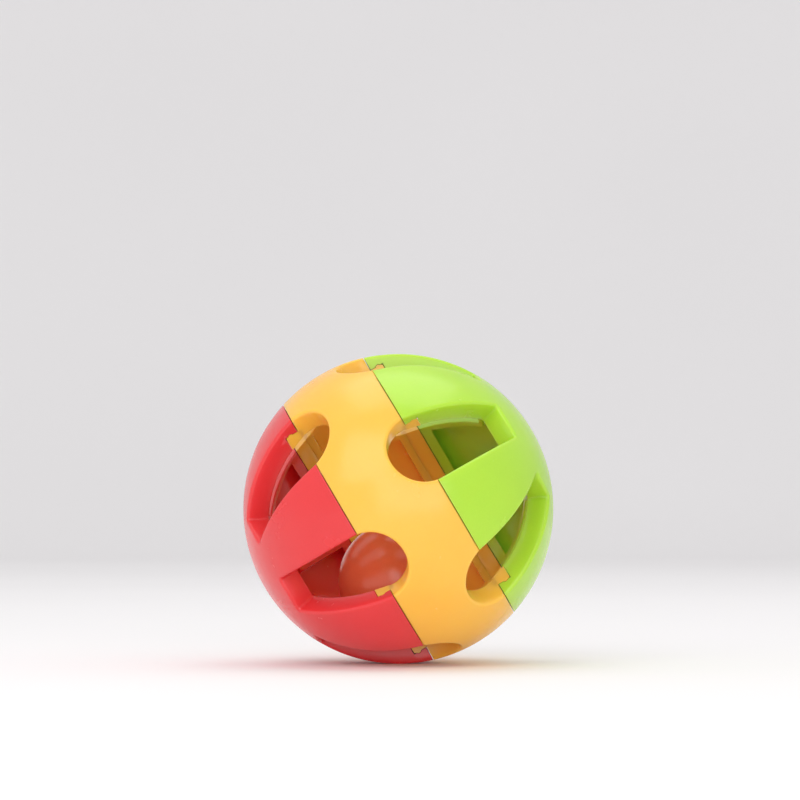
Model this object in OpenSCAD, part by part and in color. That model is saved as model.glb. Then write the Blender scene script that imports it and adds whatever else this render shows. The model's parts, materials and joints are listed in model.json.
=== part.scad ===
// Hollow slotted ball of three moulded bands, with a loose rattle ball inside.
// The ball is modelled upright, with the axis its bands turn about on Z and the
// green pole at the top, and lean_over() then lays it in its resting pose.

/* [Ball] */
// Outer diameter of the ball
ball_d = 75; // [70:1:82]
// Thickness of the shell wall between the slots
wall = 2.4; // [2:0.1:3]
// Depth of the raised rims that line the slots, from the outer face inwards
rim_depth = 5.4; // [4.8:0.1:6]
// Width of those rims, in degrees seen from the ball's centre
rim_angle = 2.4; // [1.8:0.1:3]
// Width of the yellow ring between its two seams
ring_w = 22.5; // [20:0.5:26]
// Gap left at each seam
seam_gap = 0.2; // [0.1:0.05:0.4]

/* [Slots] */
// Slots in each end cap
slots_a_side = 6; // [5:1:7]
// Half the angle between a slot's two long sides, seen along the axis
slot_half_angle = 13.9; // [11:0.1:15]
// Height above the mid-plane of the rounded end that reaches into the ring
slot_tip = 4; // [3:0.25:6]
// Height above the mid-plane of the square end near the pole
slot_end = 32.6; // [30:0.2:33.4]

/* [Twisting joint] */
// Outer radius of the ring's lips, which the caps turn on
lip_r = 32.2; // [31.8:0.1:32.6]
// Height of the lips beyond the seam
lip_h = 3.2; // [2.6:0.1:3.6]
// Radial clearance between the lips and the caps
lip_gap = 0.1; // [0.06:0.01:0.15]
// Radius of the round bead that snaps into a cap's groove
snap_r = 0.7; // [0.5:0.05:0.9]
// Width of the ring's flange that carries the lips
flange_w = 2; // [1.5:0.1:3]

/* [Inner ball] */
// Diameter of the loose inner ball, wider than any slot
inner_d = 29; // [24:0.5:30]
// Wall of the inner ball
inner_wall = 1.6; // [1.2:0.1:2]
// Gap between the resting inner ball and the rims that it lies on
rest_gap = 0.15; // [0.1:0.05:0.3]
// Length of the spigot that locates one half in the other
spigot_h = 1.5; // [1:0.1:2]

/* [Rattle beads] */
// Diameter of a bead
bead_d = 4; // [3:0.25:4.5]
// Angle of those beads from the lowest one, seen from the inner ball's centre
bead_spread = 24; // [24:0.5:30]

/* [Resting pose] */
// Rise of the axis above the ground, towards the green pole
axis_tilt = 30.6; // [0:0.1:60]
// Turn of the green slots about the axis; the red slots lie half a slot further
slot_turn = 14.3; // [0:0.1:60]

/* [Hidden] */
// Beads that lie round the lowest one
beads_around = 5;
$fn = 128;

ball_r = ball_d / 2;
cavity_r = ball_r - rim_depth;
seam_z = ring_w / 2;
pitch = 360 / slots_a_side;
// A slot's outline is the same at every depth seen from the ball's centre, so it is
// stated in degrees of latitude. The circle of its round end would just touch both long
// sides, and is a hair wider than that, so that it crosses them cleanly.
tip_lat = asin(slot_tip / ball_r);
end_lat = asin(slot_end / ball_r);
touch_angle = atan(sin(slot_half_angle) * cos(tip_lat) / (1 + sin(slot_half_angle) * sin(tip_lat)));
round_lat = tip_lat + touch_angle;
round_angle = touch_angle + 0.2;
// Cutters start well inside the cavity and end outside the ball
cut_near = 20;
cut_far = ball_r + 3;
// The snap bead sits near the lips' free edge, with its centre just under their face
snap_z = seam_z + lip_h - 1.2;
snap_centre_r = lip_r - snap_r / 2;
inner_r = inner_d / 2;
inner_cavity_r = inner_r - inner_wall;
inner_drop = cavity_r - inner_r - rest_gap;
spigot_r = inner_r - inner_wall / 2;
bead_r = bead_d / 2;
bead_orbit_r = inner_cavity_r - bead_r - 0.05;
joint_gap = 0.05;

// Lays the upright ball over into its resting pose
module lean_over() {
    rotate([0, 90 - axis_tilt, 0]) children();
}

// Everything within a spherical shell between two radii
module shell(r_in, r_out) {
    difference() {
        sphere(r = r_out);
        sphere(r = r_in);
    }
}

// A flat slab across the ball, from one height to another
module slab(z_low, z_high) {
    translate([0, 0, z_low]) cylinder(h = z_high - z_low, r = cut_far);
}

// One slot as a solid with radial faces, centred on azimuth 0, widened by grow degrees
module slot(grow = 0) {
    half = slot_half_angle + grow;
    low = [cos(round_lat), sin(round_lat)];
    high = [cos(end_lat + grow), sin(end_lat + grow)];
    flare = tan(round_angle + grow);
    rotate([0, 0, -half])
        rotate_extrude(angle = 2 * half)
            polygon([cut_near * low, cut_far * low, cut_far * high, cut_near * high]);
    rotate([0, 90 - round_lat, 0])
        translate([0, 0, cut_near])
            cylinder(h = cut_far - cut_near, r1 = cut_near * flare, r2 = cut_far * flare);
}

// The slots of the upper side, all widened by grow degrees
module slots(grow = 0) {
    for (i = [0 : slots_a_side - 1])
        rotate([0, 0, slot_turn + i * pitch]) slot(grow);
}

// Repeats the upper side's shapes on the lower side, half a slot pitch round
module both_sides() {
    children();
    rotate([0, 0, pitch / 2]) mirror([0, 0, 1]) children();
}

// The round bead on the lips, or with a clearance the groove that takes it
module snap_bead(clearance = 0) {
    rotate_extrude()
        translate([snap_centre_r, snap_z]) circle(r = snap_r + clearance, $fn = 32);
}

// The lips of the upper side as one full ring, before the slots divide it
module lip_ring() {
    cylinder(h = seam_z + lip_h, r = lip_r);
    snap_bead();
}

// The hollow left between the ring's slot rims and its two flanges
module ring_pocket() {
    flange_z = seam_z - flange_w;
    difference() {
        intersection() {
            sphere(r = ball_r - wall);
            slab(-flange_z, flange_z);
        }
        both_sides() slots(rim_angle);
    }
}

module ring_in_place() {
    edge_z = seam_z - seam_gap / 2;
    difference() {
        union() {
            intersection() {
                sphere(r = ball_r);
                slab(-edge_z, edge_z);
            }
            both_sides() lip_ring();
        }
        ring_pocket();
        sphere(r = cavity_r);
        both_sides() slots();
    }
}

// The cap of the upper side: wall and slot rims, less the room for the ring's lips
module cap_in_place() {
    edge_z = seam_z + seam_gap / 2;
    room_z = seam_z + lip_h + seam_gap;
    difference() {
        union() {
            intersection() {
                shell(ball_r - wall, ball_r);
                slab(edge_z, cut_far);
            }
            intersection() {
                shell(cavity_r, ball_r - wall / 2);
                slab(edge_z, cut_far);
                union() {
                    slots(rim_angle);
                    slab(edge_z, room_z + wall);
                }
            }
        }
        slots();
        cylinder(h = room_z, r = lip_r + lip_gap);
        snap_bead(lip_gap);
    }
}

module centre_ring() {
    color("#ffcd54") lean_over() ring_in_place();
}

module green_end_cap() {
    color("#b4e84f") lean_over() cap_in_place();
}

module red_end_cap() {
    color("#e84a4b") lean_over() rotate([0, 0, pitch / 2]) mirror([0, 0, 1]) cap_in_place();
}

// Moves what is modelled round the inner ball's own centre to the bottom of the cavity
module in_inner_ball() {
    translate([0, 0, -inner_drop]) children();
}

// Turns the halves, modelled with their joint plane level, so that the joint stands upright
module facing_front() {
    rotate([90, 0, 0]) children();
}

module inner_ball_front_half() {
    color("#ec5c37") in_inner_ball() facing_front() difference() {
        union() {
            intersection() {
                sphere(r = inner_r);
                slab(0, inner_d);
            }
            translate([0, 0, -spigot_h]) cylinder(h = spigot_h + inner_wall, r = spigot_r - joint_gap);
        }
        sphere(r = inner_cavity_r);
    }
}

module inner_ball_back_half() {
    color("#ec5c37") in_inner_ball() facing_front() difference() {
        intersection() {
            sphere(r = inner_r);
            slab(-inner_d, 0);
        }
        sphere(r = inner_cavity_r);
        translate([0, 0, -spigot_h - joint_gap]) cylinder(h = inner_wall + spigot_h, r = spigot_r);
    }
}

// Bead 1 is the lowest; the others lie round it
module rattle_bead(number) {
    spread = number == 1 ? 0 : bead_spread;
    turn = (number - 2) * 360 / beads_around;
    color("#e8e4da") in_inner_ball()
        rotate([0, spread, turn]) translate([0, 0, -bead_orbit_r]) sphere(r = bead_r);
}

centre_ring();
red_end_cap();
green_end_cap();
inner_ball_front_half();
inner_ball_back_half();
for (number = [1 : beads_around + 1])
    rattle_bead(number);
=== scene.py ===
import json
import math

import bmesh
import bpy
import numpy as np
from mathutils import Matrix, Vector


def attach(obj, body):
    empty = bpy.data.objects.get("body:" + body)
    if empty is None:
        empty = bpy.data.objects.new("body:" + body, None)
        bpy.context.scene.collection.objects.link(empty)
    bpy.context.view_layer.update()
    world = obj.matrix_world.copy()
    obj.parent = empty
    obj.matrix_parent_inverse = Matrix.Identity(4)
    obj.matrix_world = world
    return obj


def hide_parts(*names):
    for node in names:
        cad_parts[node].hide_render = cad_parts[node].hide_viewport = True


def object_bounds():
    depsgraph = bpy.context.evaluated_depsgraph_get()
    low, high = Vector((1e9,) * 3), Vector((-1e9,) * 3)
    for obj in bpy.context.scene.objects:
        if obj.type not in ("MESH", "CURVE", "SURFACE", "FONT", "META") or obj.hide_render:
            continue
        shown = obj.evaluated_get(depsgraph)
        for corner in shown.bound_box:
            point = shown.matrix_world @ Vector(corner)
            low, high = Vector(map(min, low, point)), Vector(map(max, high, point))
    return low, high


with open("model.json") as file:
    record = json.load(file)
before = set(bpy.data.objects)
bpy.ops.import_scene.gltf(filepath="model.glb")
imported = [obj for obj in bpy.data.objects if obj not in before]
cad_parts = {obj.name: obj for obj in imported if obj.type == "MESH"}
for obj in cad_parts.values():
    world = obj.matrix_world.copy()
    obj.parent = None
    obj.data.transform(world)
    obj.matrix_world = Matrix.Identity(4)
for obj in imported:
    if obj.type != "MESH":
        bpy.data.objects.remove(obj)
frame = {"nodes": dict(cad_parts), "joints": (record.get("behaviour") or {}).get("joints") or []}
cad_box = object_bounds()

# The view: the toy stands at eye level, a long lens away, with its axis rising to the right.
# The lens and the aim put the ball low in the frame, at about two fifths of its width.
BALL_R = 0.0375
EYE_DISTANCE = 20 * BALL_R
LENS = 139.3
AIM_ABOVE_BALL = 0.0263
AIM_BESIDE_BALL = 0.0004

camera_data = bpy.data.cameras.new("camera")
camera_data.lens = LENS
camera_data.sensor_width = 36.0
camera = bpy.data.objects.new("camera", camera_data)
camera.location = (0.0, -EYE_DISTANCE, 0.0)
aim = Vector((AIM_BESIDE_BALL, 0.0, AIM_ABOVE_BALL)) - camera.location
camera.rotation_euler = aim.to_track_quat("-Z", "Y").to_euler()
bpy.context.scene.collection.objects.link(camera)
bpy.context.scene.camera = camera


# The floor and backdrop: one pale studio sweep of matt card under and behind the toy.
# It is curved up at the back, so no horizon shows.
SWEEP_WIDTH = 6.0
SWEEP_FRONT = -2.5
SWEEP_BACK = 1.6
SWEEP_BEND = 0.8
SWEEP_HEIGHT = 3.0


class Shade:
    """One socket of a material's node tree, so that shader maths reads as Python."""

    def __init__(self, tree, socket):
        self.tree, self.socket = tree, socket

    def _math(self, operation, a, b):
        made = self.tree.nodes.new("ShaderNodeMath")
        made.operation = operation
        for place, value in enumerate((a, b)):
            if isinstance(value, Shade):
                self.tree.links.new(value.socket, made.inputs[place])
            else:
                made.inputs[place].default_value = value
        return Shade(self.tree, made.outputs[0])

    def __add__(self, other):
        return self._math("ADD", self, other)

    def __sub__(self, other):
        return self._math("SUBTRACT", self, other)

    def __mul__(self, other):
        return self._math("MULTIPLY", self, other)

    def __truediv__(self, other):
        return self._math("DIVIDE", self, other)

    def __pow__(self, other):
        return self._math("POWER", self, other)

    def __rsub__(self, other):
        return self._math("SUBTRACT", other, self)

    __radd__, __rmul__ = __add__, __mul__

    def node(self, kind, settings=None, output=0, **inputs):
        """Adds a node of a type, sets its settings, then its inputs by socket name, and gives one output."""
        made = self.tree.nodes.new(kind)
        for name, value in (settings or {}).items():
            setattr(made, name, value)
        for name, value in inputs.items():
            label = name.replace("_", " ")
            # i6 means the seventh input, for nodes that have several inputs of one name
            socket = made.inputs[label if label in made.inputs else int(name[1:])]
            if isinstance(value, Shade):
                self.tree.links.new(value.socket, socket)
            else:
                socket.default_value = value
        return Shade(self.tree, made.outputs[output])

    def steps(self, *stops):
        """A straight-line ramp of this value through (place, level) stops."""
        made = self.tree.nodes.new("ShaderNodeValToRGB")
        ramp = made.color_ramp
        while len(ramp.elements) < len(stops):
            ramp.elements.new(1.0)
        for element, (place, level) in zip(ramp.elements, stops):
            element.position = place
            element.color = (level, level, level, 1.0)
        self.tree.links.new(self.socket, made.inputs[0])
        return Shade(self.tree, made.outputs[0])


def new_material(name, **constants):
    """An empty Principled material with its constant sockets set, and a Shade to build from."""
    material = bpy.data.materials.new(name)
    material.use_nodes = True
    tree = material.node_tree
    surface = next(n for n in tree.nodes if n.type == "BSDF_PRINCIPLED")
    for socket, value in constants.items():
        surface.inputs[socket.replace("_", " ")].default_value = value
    place = tree.nodes.new("ShaderNodeTexCoord")
    return material, surface, Shade(tree, place.outputs["Object"])


def sweep_card():
    material, surface, place = new_material("studio_card", Specular_IOR_Level=0.2)
    fibres = place.node("ShaderNodeTexNoise", Vector=place, Scale=900.0, Detail=3.0)
    clouds = place.node("ShaderNodeTexNoise", Vector=place, Scale=1.5, Detail=2.0)
    tone = place.node(
        "ShaderNodeMix", {"data_type": "RGBA"}, 2,
        Factor=clouds.steps((0.3, 0.0), (0.7, 1.0)), i6=(0.90, 0.885, 0.88, 1), i7=(0.93, 0.915, 0.91, 1),
    )
    bump = place.node("ShaderNodeBump", Strength=0.05, Distance=0.0002, Height=fibres)
    tree = material.node_tree
    tree.links.new(tone.socket, surface.inputs["Base Color"])
    tree.links.new((0.75 + fibres * 0.1).socket, surface.inputs["Roughness"])
    tree.links.new(bump.socket, surface.inputs["Normal"])
    return material


floor_z = cad_box[0].z
bend_steps = 24
sweep_line = [(SWEEP_FRONT, floor_z)]
for step in range(bend_steps + 1):
    turn = math.radians(90) * step / bend_steps
    sweep_line.append((SWEEP_BACK + SWEEP_BEND * math.sin(turn), floor_z + SWEEP_BEND * (1 - math.cos(turn))))
sweep_line.append((SWEEP_BACK + SWEEP_BEND, floor_z + SWEEP_HEIGHT))
corners = [(side * SWEEP_WIDTH / 2, y, z) for y, z in sweep_line for side in (-1, 1)]
quads = [(2 * i, 2 * i + 1, 2 * i + 3, 2 * i + 2) for i in range(len(sweep_line) - 1)]
sweep_mesh = bpy.data.meshes.new("studio_sweep")
sweep_mesh.from_pydata(corners, [], quads)
sweep_mesh.polygons.foreach_set("use_smooth", [True] * len(quads))
sweep_mesh.materials.append(sweep_card())
sweep = bpy.data.objects.new("studio_sweep", sweep_mesh)
bpy.context.scene.collection.objects.link(sweep)


# The light: a large soft key over the toy's left shoulder, a broad fill from the right and
# a soft top light, in a pale room. Nothing hard, so that the gloss shows as wide soft shapes.
def soft_light(name, place, size, power, tint):
    data = bpy.data.lights.new(name, "AREA")
    data.shape = "RECTANGLE"
    data.size, data.size_y = size
    data.energy = power
    data.color = tint
    lamp = bpy.data.objects.new(name, data)
    lamp.location = place
    lamp.rotation_euler = (-Vector(place)).to_track_quat("-Z", "Y").to_euler()
    bpy.context.scene.collection.objects.link(lamp)


soft_light("key_light", (-0.45, -0.9, 0.75), (0.8, 0.8), 3.6, (1.0, 0.985, 0.96))
soft_light("fill_light", (0.2, -1.15, -0.02), (1.1, 1.0), 6.0, (0.99, 0.99, 1.0))
soft_light("top_light", (0.0, 0.2, 1.1), (1.0, 0.8), 3.0, (1.0, 1.0, 1.0))

bpy.context.scene.view_settings.view_transform = "Standard"

world = bpy.data.worlds.new("pale_room")
world.use_nodes = True
room = world.node_tree.nodes["Background"]
room.inputs["Color"].default_value = (0.95, 0.95, 0.97, 1.0)
room.inputs["Strength"].default_value = 0.8
bpy.context.scene.world = world


# Centre ring: the yellow band that holds the toy together. One ABS moulding, its edges cut by
# six round-ended notches a side; raised rims line the notches inside, and six short lips
# a side, each with a snap bead, carry the end caps.
RING_YELLOW = (1.0, 0.54, 0.07)
RING_DEEP_YELLOW = (0.98, 0.49, 0.05)

# The slots, as angles seen from the ball's centre and heights above its mid-plane
SLOTS = 6
PITCH = 2 * math.pi / SLOTS
SLOT_TURN = math.radians(14.3)
SLOT_HALF_ANGLE = math.radians(13.9)
SLOT_TIP_Z = 0.004
SLOT_END_Z = 0.0326
SLOT_CORNER = math.radians(1.0)

# The wall, the rims that line the slots and the flanges that line the seams
WALL = 0.0024
RIM_DEPTH = 0.0054
RIM_ANGLE = math.radians(2.4)
RIM_DRAFT = math.radians(0.15)
CAVITY_R = BALL_R - RIM_DEPTH
POCKET_R = BALL_R - WALL
SEAM_Z = 0.01125
SEAM_GAP = 0.0002
FLANGE_WIDTH = 0.002

# The rounding of the edges, and a narrow strip beside each that keeps the skin's shading true
EDGE_ROUND = 0.0007
INNER_ROUND = 0.0003
SEAM_ROUND = 0.00015
EDGE_SUPPORT = 0.0002

# The lips and their snap beads
LIP_R = 0.0322
LIP_HEIGHT = 0.0032
SNAP_ROUND = 0.0007
SNAP_Z = SEAM_Z + LIP_HEIGHT - 0.0012

# The mouldings are worked out upright, on Z, and then laid over onto the axis of the twist joint
twist = next(joint for joint in frame["joints"] if joint["name"] == "green_cap_twist")
axis = Vector(twist["axis"]).normalized()
laid_over = Matrix.Rotation(math.atan2(axis.x, axis.z), 4, "Y") @ Matrix.Rotation(SLOT_TURN, 4, "Z")


def towards(lat, az):
    """Unit vectors from the ball's centre, with the toy upright on its green pole's axis."""
    lat, az = np.broadcast_arrays(np.asarray(lat, float), np.asarray(az, float))
    return np.stack([np.cos(lat) * np.cos(az), np.cos(lat) * np.sin(az), np.sin(lat)], -1)


def circle_on_ball(centre_lat, centre_az, radius, bearings):
    """Points of a small circle on the unit ball, and their outward directions along its surface."""
    centre = towards(centre_lat, centre_az)
    north = towards(centre_lat + math.pi / 2, centre_az)
    east = np.cross(north, centre)
    spokes = np.outer(np.cos(bearings), north) + np.outer(np.sin(bearings), east)
    points = math.cos(radius) * centre + math.sin(radius) * spokes
    outward = -math.sin(radius) * centre + math.cos(radius) * spokes
    return points, outward


# One slot's outline, from the middle of its square end, round its corner, down its long side
# and round to the tip. The round end is the circle that touches both long sides.
tip_lat = math.asin(SLOT_TIP_Z / BALL_R)
end_lat = math.asin(SLOT_END_Z / BALL_R)
round_radius = math.atan(
    math.sin(SLOT_HALF_ANGLE) * math.cos(tip_lat) / (1 + math.sin(SLOT_HALF_ANGLE) * math.sin(tip_lat))
)
round_lat = tip_lat + round_radius
side_normal = np.array([-math.sin(SLOT_HALF_ANGLE), math.cos(SLOT_HALF_ANGLE), 0.0])
corner_lat = end_lat - SLOT_CORNER
corner_az = SLOT_HALF_ANGLE - math.asin(math.sin(SLOT_CORNER) / math.cos(corner_lat))


def bearing_of_side(centre_lat, centre_az):
    """Bearing from a point to the nearest point of the slot's long side, and that point's latitude."""
    centre = towards(centre_lat, centre_az)
    foot = centre - (centre @ side_normal) * side_normal
    foot /= np.linalg.norm(foot)
    north = towards(centre_lat + math.pi / 2, centre_az)
    return math.atan2(foot @ np.cross(north, centre), foot @ north), math.asin(foot[2])


corner_bearing, side_top_lat = bearing_of_side(corner_lat, corner_az)
round_bearing, side_low_lat = bearing_of_side(round_lat, 0.0)
END_STEPS, CORNER_STEPS, SIDE_STEPS, ROUND_STEPS = 6, 4, 260, 260
end_az = np.linspace(0, corner_az, END_STEPS + 1)
corner_points, corner_out = circle_on_ball(
    corner_lat, corner_az, SLOT_CORNER, np.linspace(0, corner_bearing, CORNER_STEPS + 1)
)
side_points = towards(np.linspace(side_top_lat, side_low_lat, SIDE_STEPS + 1), SLOT_HALF_ANGLE)
round_points, round_out = circle_on_ball(
    round_lat, 0.0, round_radius, np.linspace(round_bearing, math.pi, ROUND_STEPS + 1)
)
square_end = (
    np.concatenate([towards(end_lat, end_az), corner_points[1:]]),
    np.concatenate([towards(end_lat + math.pi / 2, end_az), corner_out[1:]]),
)
long_run = (
    np.concatenate([side_points, round_points[1:]]),
    np.concatenate([np.tile(side_normal, (SIDE_STEPS + 1, 1)), round_out[1:]]),
)


def grown(outline, angle):
    """(latitudes, azimuths) of an outline moved into the material by an angle."""
    points, outward = outline
    moved = math.cos(angle) * points + math.sin(angle) * outward
    return np.arcsin(moved[:, 2]), np.arctan2(moved[:, 1], moved[:, 0])


def run_place(angle, sin_lat):
    """How far along the long run, as an index, it crosses a level, given as height over radius."""
    lats, _ = grown(long_run, angle)
    return np.interp(-sin_lat, -np.sin(lats), np.arange(len(lats)))


def run_at(angle, places):
    """(latitudes, azimuths) at those places of the long run, moved into the material by an angle."""
    lats, azs = grown(long_run, angle)
    steps = np.arange(len(lats))
    return np.interp(places, steps, lats), np.interp(places, steps, azs)


# A rounded edge as steps from the wall to the flat skin: how far in, and how far below the skin.
ROUND_ANGLES = np.radians([0, 22.5, 45, 67.5, 90])
round_in = 1 - np.cos(ROUND_ANGLES)
round_drop = 1 - np.sin(ROUND_ANGLES)
WALL_DEPTHS = (0.35, 0.7)


def edge_across():
    """A slot's edge from outer skin to pocket: (angle into the material, radius), rounded at both faces."""
    outer = [((EDGE_ROUND + EDGE_SUPPORT) / BALL_R, BALL_R)]
    outer += [(EDGE_ROUND * d / BALL_R, BALL_R - EDGE_ROUND * h) for d, h in zip(round_in, round_drop)][::-1]
    depth = RIM_DEPTH - EDGE_ROUND - INNER_ROUND
    wall = [(0.0, BALL_R - EDGE_ROUND - part * depth) for part in WALL_DEPTHS]
    inner = [(INNER_ROUND * d / BALL_R, CAVITY_R + INNER_ROUND * h) for d, h in zip(round_in, round_drop)]
    return outer, wall, inner + [(RIM_ANGLE, CAVITY_R), (RIM_ANGLE + RIM_DRAFT, POCKET_R)]


class Sheets:
    """Collects grids of points as quads, and single faces; touching edges are welded later."""

    def __init__(self):
        self.points, self.faces, self.count = [], [], 0

    def grid(self, rows):
        rows = np.asarray(rows, float)
        height, width = rows.shape[:2]
        index = self.count + np.arange(height * width).reshape(height, width)
        quads = np.stack([index[:-1, :-1], index[:-1, 1:], index[1:, 1:], index[1:, :-1]], -1)
        self.points.append(rows.reshape(-1, 3))
        self.faces += quads.reshape(-1, 4).tolist()
        self.count += height * width

    def face(self, corners):
        corners = np.asarray(corners, float)
        self.points.append(corners)
        self.faces.append(list(range(self.count, self.count + len(corners))))
        self.count += len(corners)

    def made(self, name):
        """The sheets as one object, still open where its neighbours round the axis will join it."""
        mesh = bpy.data.meshes.new(name)
        mesh.from_pydata(np.concatenate(self.points).tolist(), [], self.faces)
        made = bpy.data.objects.new(name, mesh)
        bpy.context.scene.collection.objects.link(made)
        return made


def ring_stations():
    """The ring's edge stations: (angle grown, radius, setback from the seam, drop at the seam)."""
    outer, wall, inner = edge_across()
    seam = [(SEAM_ROUND + EDGE_SUPPORT, 0.0)]
    seam += [(SEAM_ROUND * d, SEAM_ROUND * h) for d, h in zip(round_in, round_drop)][::-1]
    stations = [(*edge, *side) for edge, side in zip(outer, seam)]
    stations += [(*edge, 0.0, None) for edge in wall]
    setbacks = [INNER_ROUND * d for d in round_in] + [FLANGE_WIDTH, FLANGE_WIDTH + 0.0001]
    return stations + [(*edge, setback, None) for edge, setback in zip(inner, setbacks)]


RING_EDGE_Z = SEAM_Z - SEAM_GAP / 2
NOTCH_STEPS = 40
ACROSS_STEPS = 14
near_corner = np.array([0.12, 0.3, 0.5, 0.75, 1.0, 1.4]) * EDGE_ROUND


def ring_boundary(angle, radius, setback, seam_drop):
    """One station's line round one slot pitch: the notch from side to side, then the seam's edge."""
    corner_level = (RING_EDGE_Z - setback) / radius
    start = run_place(angle, corner_level)
    lats, azs = run_at(angle, np.linspace(start, len(long_run[0]) - 1, NOTCH_STEPS // 2 + 1))
    lats[0] = math.asin(corner_level)
    length = (PITCH - 2 * azs[0]) * radius
    near = near_corner / length
    even = np.linspace(near[-1], 1 - near[-1], NOTCH_STEPS - 2 * len(near) + 1)
    shares = np.concatenate([near, even[1:-1], 1 - near[::-1], [1.0]])
    seam_az = azs[0] + shares * (PITCH - 2 * azs[0])
    seam_r = np.full(len(shares), radius)
    if seam_drop is not None:
        # beside a slot the seam's edge runs down over the slot's own rounding
        from_slot = np.minimum(shares, 1 - shares) * length + angle * BALL_R
        inside = np.clip(1 - from_slot / EDGE_ROUND, 0, 1)
        slot_drop = EDGE_ROUND * (1 - np.sqrt(1 - inside**2))
        seam_r = BALL_R - np.maximum(slot_drop, seam_drop)
        seam_r[-1] = radius
    seam_lat = np.arcsin((RING_EDGE_Z - setback) / seam_r)
    return np.stack([
        np.concatenate([lats, lats[-2::-1], seam_lat]),
        np.concatenate([-azs, azs[-2::-1], seam_az]),
        np.concatenate([np.full(NOTCH_STEPS + 1, radius), seam_r]),
    ], -1)


def ring_sector():
    """One slot pitch of the ring, as sheets that close up when six of them are set round the axis."""
    sheets = Sheets()
    # the lower side is the upper side's line turned half a pitch and mirrored
    order = np.roll(np.arange(2 * NOTCH_STEPS), NOTCH_STEPS)
    order = np.append(order, order[0])
    lap = np.where(np.arange(len(order)) < NOTCH_STEPS, -PITCH, 0.0)
    upper = np.array([ring_boundary(*station) for station in ring_stations()])
    lower = upper[:, order] * (-1, 1, 1)
    lower[..., 1] += PITCH / 2 + lap
    for side in (upper, lower):
        sheets.grid(side[..., 2:] * towards(side[..., 0], side[..., 1]))
    share = np.linspace(0, 1, ACROSS_STEPS + 1)[:, None, None]
    for station, radius in ((0, BALL_R), (-1, POCKET_R)):
        skin = upper[station] + share * (lower[station] - upper[station])
        # only the two edges keep their own radius; all between them lies on the sphere
        skin[1:-1, :, 2] = radius
        sheets.grid(skin[..., 2:] * towards(skin[..., 0], skin[..., 1]))
    # the lips, each a short curved block with its snap bead, standing on both flanges
    low, high = SEAM_Z - 0.001, SEAM_Z + LIP_HEIGHT
    snap_r = LIP_R - SNAP_ROUND / 2
    bead_turns = np.radians(np.linspace(-60, 60, 9))
    inner_z = np.linspace(high, RING_EDGE_Z, 5)
    profile = [(LIP_R, low)]
    profile += [(snap_r + SNAP_ROUND * math.cos(t), SNAP_Z + SNAP_ROUND * math.sin(t)) for t in bead_turns]
    profile += [(LIP_R, high - INNER_ROUND), (LIP_R - INNER_ROUND, high)]
    profile += [(math.sqrt(CAVITY_R**2 - z * z), z) for z in inner_z]
    profile += [(math.sqrt((CAVITY_R + 0.0005) ** 2 - low * low), low)]
    profile = np.array(profile + profile[:1])
    for side in (1, -1):
        start = SLOT_HALF_ANGLE + (0 if side > 0 else PITCH / 2)
        turns = np.linspace(start, start + PITCH - 2 * SLOT_HALF_ANGLE, 13)
        rows = [
            np.stack([profile[:, 0] * math.cos(t), profile[:, 0] * math.sin(t), side * profile[:, 1]], -1)
            for t in turns
        ]
        sheets.grid(rows)
        sheets.face(rows[0][:-1])
        sheets.face(rows[-1][:-1])
    return sheets.made("ring_sector")


def round_the_axis():
    """Geometry Nodes tree: sets copies of a sector round Z, welds them and gives them a material."""
    tree = bpy.data.node_groups.new("round_the_axis", "GeometryNodeTree")
    sockets = tree.interface
    sockets.new_socket("Sector", in_out="INPUT", socket_type="NodeSocketGeometry")
    sockets.new_socket("Copies", in_out="INPUT", socket_type="NodeSocketInt")
    sockets.new_socket("Weld distance", in_out="INPUT", socket_type="NodeSocketFloat")
    sockets.new_socket("Material", in_out="INPUT", socket_type="NodeSocketMaterial")
    sockets.new_socket("Geometry", in_out="OUTPUT", socket_type="NodeSocketGeometry")
    add, link = tree.nodes.new, tree.links.new
    given, result = add("NodeGroupInput"), add("NodeGroupOutput")
    places, number = add("GeometryNodeMeshLine"), add("GeometryNodeInputIndex")
    places.inputs["Offset"].default_value = (0.0, 0.0, 0.0)
    share, turn = add("ShaderNodeMath"), add("ShaderNodeMath")
    share.operation, turn.operation = "DIVIDE", "MULTIPLY"
    share.inputs[0].default_value = 2 * math.pi
    spin = add("ShaderNodeCombineXYZ")
    copies, real = add("GeometryNodeInstanceOnPoints"), add("GeometryNodeRealizeInstances")
    weld, finish = add("GeometryNodeMergeByDistance"), add("GeometryNodeSetMaterial")
    link(given.outputs["Copies"], places.inputs["Count"])
    link(given.outputs["Copies"], share.inputs[1])
    link(share.outputs[0], turn.inputs[0])
    link(number.outputs[0], turn.inputs[1])
    link(turn.outputs[0], spin.inputs["Z"])
    link(places.outputs[0], copies.inputs["Points"])
    link(given.outputs["Sector"], copies.inputs["Instance"])
    link(spin.outputs[0], copies.inputs["Rotation"])
    link(copies.outputs[0], real.inputs[0])
    link(real.outputs[0], weld.inputs["Geometry"])
    link(given.outputs["Weld distance"], weld.inputs["Distance"])
    link(weld.outputs[0], finish.inputs["Geometry"])
    link(given.outputs["Material"], finish.inputs["Material"])
    link(finish.outputs[0], result.inputs[0])
    return tree


AXIS_TREE = round_the_axis()


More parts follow.
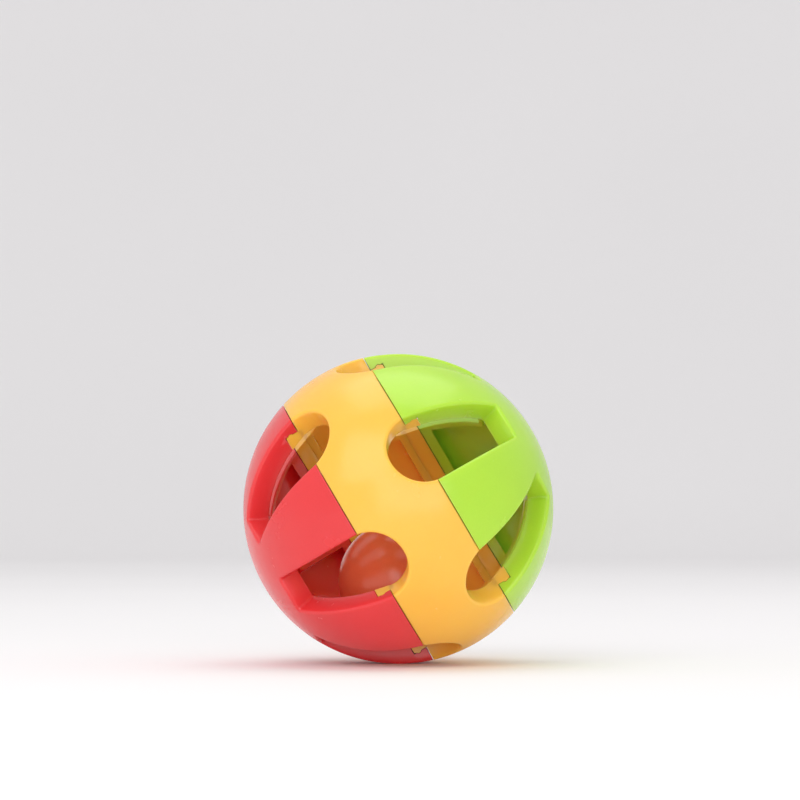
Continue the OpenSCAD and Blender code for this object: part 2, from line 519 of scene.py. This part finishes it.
def moulded(name, sector, copies, material, placing, mirrored=False, sharp=math.radians(50)):
    """Sets a sector round the axis, makes it one plain mesh in place, and points its faces outwards."""
    modifier = sector.modifiers.new("round_the_axis", "NODES")
    modifier.node_group = AXIS_TREE
    settings = {"Copies": copies, "Weld distance": 2e-6, "Material": material}
    for item in AXIS_TREE.interface.items_tree:
        if item.in_out == "INPUT" and item.name in settings:
            modifier[item.identifier] = settings[item.name]
    bpy.context.view_layer.update()
    evaluated = sector.evaluated_get(bpy.context.evaluated_depsgraph_get())
    mesh = bpy.data.meshes.new_from_object(evaluated)
    bpy.data.objects.remove(sector)
    if mirrored:
        placing = placing @ Matrix.Rotation(PITCH / 2, 4, "Z") @ Matrix.Diagonal((1, 1, -1, 1))
    mesh.transform(placing)
    tidy = bmesh.new()
    tidy.from_mesh(mesh)
    bmesh.ops.remove_doubles(tidy, verts=tidy.verts, dist=2e-6)
    bmesh.ops.dissolve_degenerate(tidy, edges=tidy.edges, dist=1e-7)
    bmesh.ops.recalc_face_normals(tidy, faces=tidy.faces)
    tidy.to_mesh(mesh)
    tidy.free()
    mesh.polygons.foreach_set("use_smooth", [True] * len(mesh.polygons))
    mesh.set_sharp_from_angle(angle=sharp)
    piece = bpy.data.objects.new(name, mesh)
    bpy.context.scene.collection.objects.link(piece)
    return piece


def moulded_plastic(name, colour, deep_colour, roughness=0.2):
    """Glossy coloured ABS: a little uneven in tone and gloss, with fine handling marks."""
    material, surface, place = new_material(
        name, IOR=1.53, Specular_IOR_Level=0.5, Subsurface_Weight=0.35,
        Subsurface_Radius=(1.0, 0.6, 0.25), Subsurface_Scale=0.0035,
    )
    flow = place.node("ShaderNodeTexNoise", Vector=place, Scale=38.0, Detail=3.0, Roughness=0.55)
    speckle = place.node("ShaderNodeTexNoise", Vector=place, Scale=2600.0, Detail=2.0)
    smudge = place.node("ShaderNodeTexNoise", Vector=place, Scale=95.0, Detail=4.0, Roughness=0.6)
    skin = place.node("ShaderNodeTexNoise", Vector=place, Scale=520.0, Detail=2.0)
    uneven = flow.steps((0.32, 0.0), (0.72, 1.0)) * 0.75 + speckle.steps((0.35, 0.0), (0.75, 1.0)) * 0.25
    tone = place.node(
        "ShaderNodeMix", {"data_type": "RGBA"}, 2, Factor=uneven, i6=(*colour, 1), i7=(*deep_colour, 1)
    )
    gloss = roughness + smudge.steps((0.42, 0.0), (0.72, 1.0)) * 0.07 + skin * 0.03
    bump = place.node(
        "ShaderNodeBump", Strength=0.1, Distance=0.00002, Height=skin * 0.7 + flow * 0.6
    )
    tree = material.node_tree
    tree.links.new(tone.socket, surface.inputs["Base Color"])
    tree.links.new(gloss.socket, surface.inputs["Roughness"])
    tree.links.new(bump.socket, surface.inputs["Normal"])
    return material


ring_plastic = moulded_plastic("ring_yellow_abs", RING_YELLOW, RING_DEEP_YELLOW)
ring = moulded("ring_moulding", ring_sector(), SLOTS, ring_plastic, laid_over)
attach(ring, "centre_ring")
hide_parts("centre_ring")


# Red end cap: one ABS moulding. Six ribs run from a closed pole to the seam, lined with raised
# rims. Inside the seam it has a bore and a groove for the ring's lips, which it snaps over
# and turns on.
CAP_RED = (0.80, 0.045, 0.05)
CAP_DEEP_RED = (0.72, 0.035, 0.04)
LIP_CLEARANCE = 0.0001
CAP_EDGE_Z = SEAM_Z + SEAM_GAP / 2
LIP_ROOM_Z = SEAM_Z + LIP_HEIGHT + SEAM_GAP
ROOM_R = LIP_R + LIP_CLEARANCE
RIB_ROWS = 22
RIB_COLUMNS = 20
POLE_RINGS = 16


def cap_stations():
    """The cap's stations across a slot's edge: as many before its wall as after it."""
    outer, wall, inner = edge_across()
    return [(RIM_ANGLE, BALL_R)] + outer + wall + inner


BEFORE_WALL = len(ROUND_ANGLES) + 2


def bore_radius(z):
    """Radius from the ball's centre to the cap's bore at a height, groove for the snap bead included."""
    reach = (SNAP_ROUND + LIP_CLEARANCE) ** 2 - (z - SNAP_Z) ** 2
    groove = LIP_R - SNAP_ROUND / 2 + math.sqrt(max(0.0, reach))
    return math.hypot(z, max(ROOM_R, groove))


def cap_levels():
    """Rows below the slot's straight part: (height, inner radius at its edge, skin radius, edge drop)."""
    flange_top = LIP_ROOM_Z + WALL
    rows = [(flange_top, CAVITY_R, POCKET_R, 0.0), (flange_top, CAVITY_R, CAVITY_R, 0.0)]
    rows += [(LIP_ROOM_Z, CAVITY_R, CAVITY_R, 0.0)]
    bore = [(LIP_ROOM_Z, 0.0)] + [(SNAP_Z + step, 0.0) for step in np.linspace(0.00066, -0.00066, 9)]
    bore += [(z, 0.0) for z in (0.0122, CAP_EDGE_Z + SEAM_ROUND + EDGE_SUPPORT)]
    bore += [
        (CAP_EDGE_Z + SEAM_ROUND * inwards, SEAM_ROUND * drop)
        for inwards, drop in zip(round_in[::-1], round_drop[::-1])
    ]
    return rows + [(z, bore_radius(z), bore_radius(z), drop) for z, drop in bore]


def cap_edge_rows():
    """The slot's edge from the middle of its square end to the seam: rows of (lat, az, radius)."""
    # down to here rows cross the edge squarely; below it they turn level to meet the seam
    stations = cap_stations()
    ends = [grown(square_end, angle) for angle, _ in stations]
    rows = []
    for step in range(len(square_end[0])):
        rows.append([(lats[step], azs[step], r) for (lats, azs), (_, r) in zip(ends, stations)])
    last_straight = math.sin(math.radians(33.5))
    for place in np.linspace(0, run_place(0.0, last_straight), RIB_ROWS)[1:]:
        rows.append([(*run_at(angle, place), r) for angle, r in stations])
    levels = cap_levels()
    blends = [(share, *levels[0]) for share in (0.25, 0.5, 0.75)] + [(1.0, *level) for level in levels]
    inner_from = len(stations) - BEFORE_WALL
    for share, height, edge_radius, skin_radius, drop in blends:
        row = []
        for number, (angle, r) in enumerate(stations):
            if number < BEFORE_WALL:
                r = min(r, BALL_R - drop)
            elif edge_radius > CAVITY_R and number < inner_from:
                part = WALL_DEPTHS[number - BEFORE_WALL]
                r = (BALL_R - EDGE_ROUND) * (1 - part) + edge_radius * part
            elif edge_radius > CAVITY_R:
                r = edge_radius
            elif number == len(stations) - 1:
                r = skin_radius
            z = share * height + (1 - share) * r * last_straight
            lat, az = run_at(angle, run_place(angle, z / r))
            row.append((math.asin(z / r), float(az), r))
        rows.append(row)
    return np.array(rows)


def cap_sector():
    """One slot pitch of a cap, from the middle of one slot to the middle of the next."""
    sheets = Sheets()
    left = cap_edge_rows()
    right = left.copy()
    right[..., 1] = PITCH - right[..., 1]
    for side in (left, right):
        sheets.grid(side[..., 2:] * towards(side[..., 0], side[..., 1]))
    corner_row = END_STEPS + CORNER_STEPS
    share = np.linspace(0, 1, RIB_COLUMNS + 1)[:, None]
    for station in (0, -1):
        start, end = left[corner_row:, station], right[corner_row:, station]
        skin = start[:, None] + share * (end - start)[:, None]
        sheets.grid(skin[..., 2:] * towards(skin[..., 0], skin[..., 1]))
        # the closed pole: rings that shrink from the slots' square ends to one point
        rim = np.concatenate(
            [left[:corner_row, station], skin[0], right[:corner_row, station][::-1]]
        )
        even = np.linspace(0, PITCH, len(rim))
        rings = []
        for part in np.linspace(0, 1, POLE_RINGS + 1):
            lats = rim[:, 0] + part * (math.pi / 2 - rim[:, 0])
            azs = rim[:, 1] + part * (even - rim[:, 1])
            rings.append(rim[:, 2:] * towards(lats, azs))
        sheets.grid(rings)
    # the flat face at the seam
    low_left = left[-1, :, 2:] * towards(left[-1, :, 0], left[-1, :, 1])
    low_right = right[-1, :, 2:] * towards(right[-1, :, 0], right[-1, :, 1])
    columns = {}
    for station in (0, -1):
        line = left[-1, station] + share[1:-1] * (right[-1, station] - left[-1, station])
        columns[station] = line[:, 2:] * towards(line[:, 0], line[:, 1])
    outer = np.concatenate([low_left[:BEFORE_WALL][::-1], columns[0], low_right[:BEFORE_WALL]])
    inner = np.concatenate([low_left[-BEFORE_WALL:], columns[-1], low_right[-BEFORE_WALL:][::-1]])
    lines = [outer]
    for number, part in enumerate(WALL_DEPTHS):
        line = outer + part * (inner - outer)
        line[0], line[-1] = low_left[BEFORE_WALL + number], low_right[BEFORE_WALL + number]
        lines.append(line)
    sheets.grid(lines + [inner])
    return sheets.made("cap_sector")


# The shapes above are the green side's, so the red cap is made mirrored and half a pitch round
red_plastic = moulded_plastic("cap_red_abs", CAP_RED, CAP_DEEP_RED)
red_cap = moulded("red_cap_moulding", cap_sector(), SLOTS, red_plastic, laid_over, mirrored=True)
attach(red_cap, "red_end_cap")
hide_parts("red_end_cap")


# Green end cap: the same moulding as the red one, in green ABS. It faces the other way along
# the axis, and its slots lie half a pitch round from the red cap's.
CAP_GREEN = (0.46, 0.75, 0.045)
CAP_DEEP_GREEN = (0.40, 0.68, 0.035)

green_plastic = moulded_plastic("cap_green_abs", CAP_GREEN, CAP_DEEP_GREEN)
green_cap = moulded("green_cap_moulding", cap_sector(), SLOTS, green_plastic, laid_over)
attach(green_cap, "green_end_cap")
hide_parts("green_end_cap")


# Inner ball, front half: a thin half shell of orange-red ABS. A short spigot round its rim
# locates it in the back half, to which it is cemented. The finished ball lies loose at the
# bottom of the cage.
BALL_ORANGE_RED = (1.0, 0.20, 0.085)
BALL_DEEP_ORANGE = (0.93, 0.16, 0.065)
INNER_R = 0.0145
INNER_WALL = 0.0016
JOINT_ROUND = 0.00015
SPIGOT_LENGTH = 0.0015
SPIGOT_GAP = 0.00005
TURNED_PARTS = 8
INNER_CENTRE = Vector((0.0, 0.0, -0.01745))


def arc(radius, start, end, steps, centre=(0.0, 0.0)):
    """Points of an arc between two angles in degrees."""
    angles = np.radians(np.linspace(start, end, steps))
    return [(centre[0] + radius * math.cos(a), centre[1] + radius * math.sin(a)) for a in angles]


def turned(name, profile, material, placing):
    """Turns a profile of (radius, height) points about Z and puts the piece in place."""
    sheets = Sheets()
    profile = np.array(profile)
    turns = np.linspace(0, 2 * math.pi / TURNED_PARTS, 13)
    sheets.grid([
        np.stack([profile[:, 0] * math.cos(t), profile[:, 0] * math.sin(t), profile[:, 1]], -1)
        for t in turns
    ])
    return moulded(name, sheets.made("turned_sector"), TURNED_PARTS, material, placing)


def half_shell(spigot):
    """Profile of one half, joint plane at height 0 and pole upwards; the back half has the recess."""
    inside = INNER_R - INNER_WALL
    ledge = INNER_R - INNER_WALL / 2 - (SPIGOT_GAP if spigot else 0.0)
    step = -SPIGOT_LENGTH if spigot else SPIGOT_LENGTH + SPIGOT_GAP
    first = math.degrees(math.asin(JOINT_ROUND / INNER_R))
    profile = arc(INNER_R, 90, first, 44)
    profile += arc(JOINT_ROUND, 0, -90, 5, (INNER_R - JOINT_ROUND, JOINT_ROUND))
    profile += [(ledge, 0.0), (ledge, step)]
    profile += arc(inside, math.degrees(math.asin(step / inside)), 90, 40)
    profile[0] = (0.0, profile[0][1])
    profile[-1] = (0.0, profile[-1][1])
    return profile


inner_plastic = moulded_plastic("inner_ball_abs", BALL_ORANGE_RED, BALL_DEEP_ORANGE)
at_rest = Matrix.Translation(INNER_CENTRE)
front_way = at_rest @ Matrix.Rotation(math.radians(90), 4, "X")
front = turned("inner_ball_front", half_shell(spigot=True), inner_plastic, front_way)
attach(front, "inner_ball")
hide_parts("inner_ball_front_half")


# Inner ball, back half: the same half shell with a recess round its rim in place of the spigot.
# It faces away from the viewer, its joint closed against the front half.
back_way = at_rest @ Matrix.Rotation(math.radians(-90), 4, "X")
back = turned("inner_ball_back", half_shell(spigot=False), inner_plastic, back_way)
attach(back, "inner_ball")
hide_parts("inner_ball_back_half")


# Rattle beads: six solid 4 mm balls of plain off-white polystyrene, loose inside the inner ball.
# They keep their modelled shapes; only their surface is added here.
BEADS = 6
BEAD_WHITE = (0.81, 0.78, 0.70)
BEAD_CREAM = (0.74, 0.70, 0.60)

bead_plastic = moulded_plastic("bead_polystyrene", BEAD_WHITE, BEAD_CREAM, roughness=0.3)
for number in range(1, BEADS + 1):
    bead = frame["nodes"][f"rattle_bead_{number}"]
    bead.data.materials.clear()
    bead.data.materials.append(bead_plastic)
    bead.data.polygons.foreach_set("use_smooth", [True] * len(bead.data.polygons))
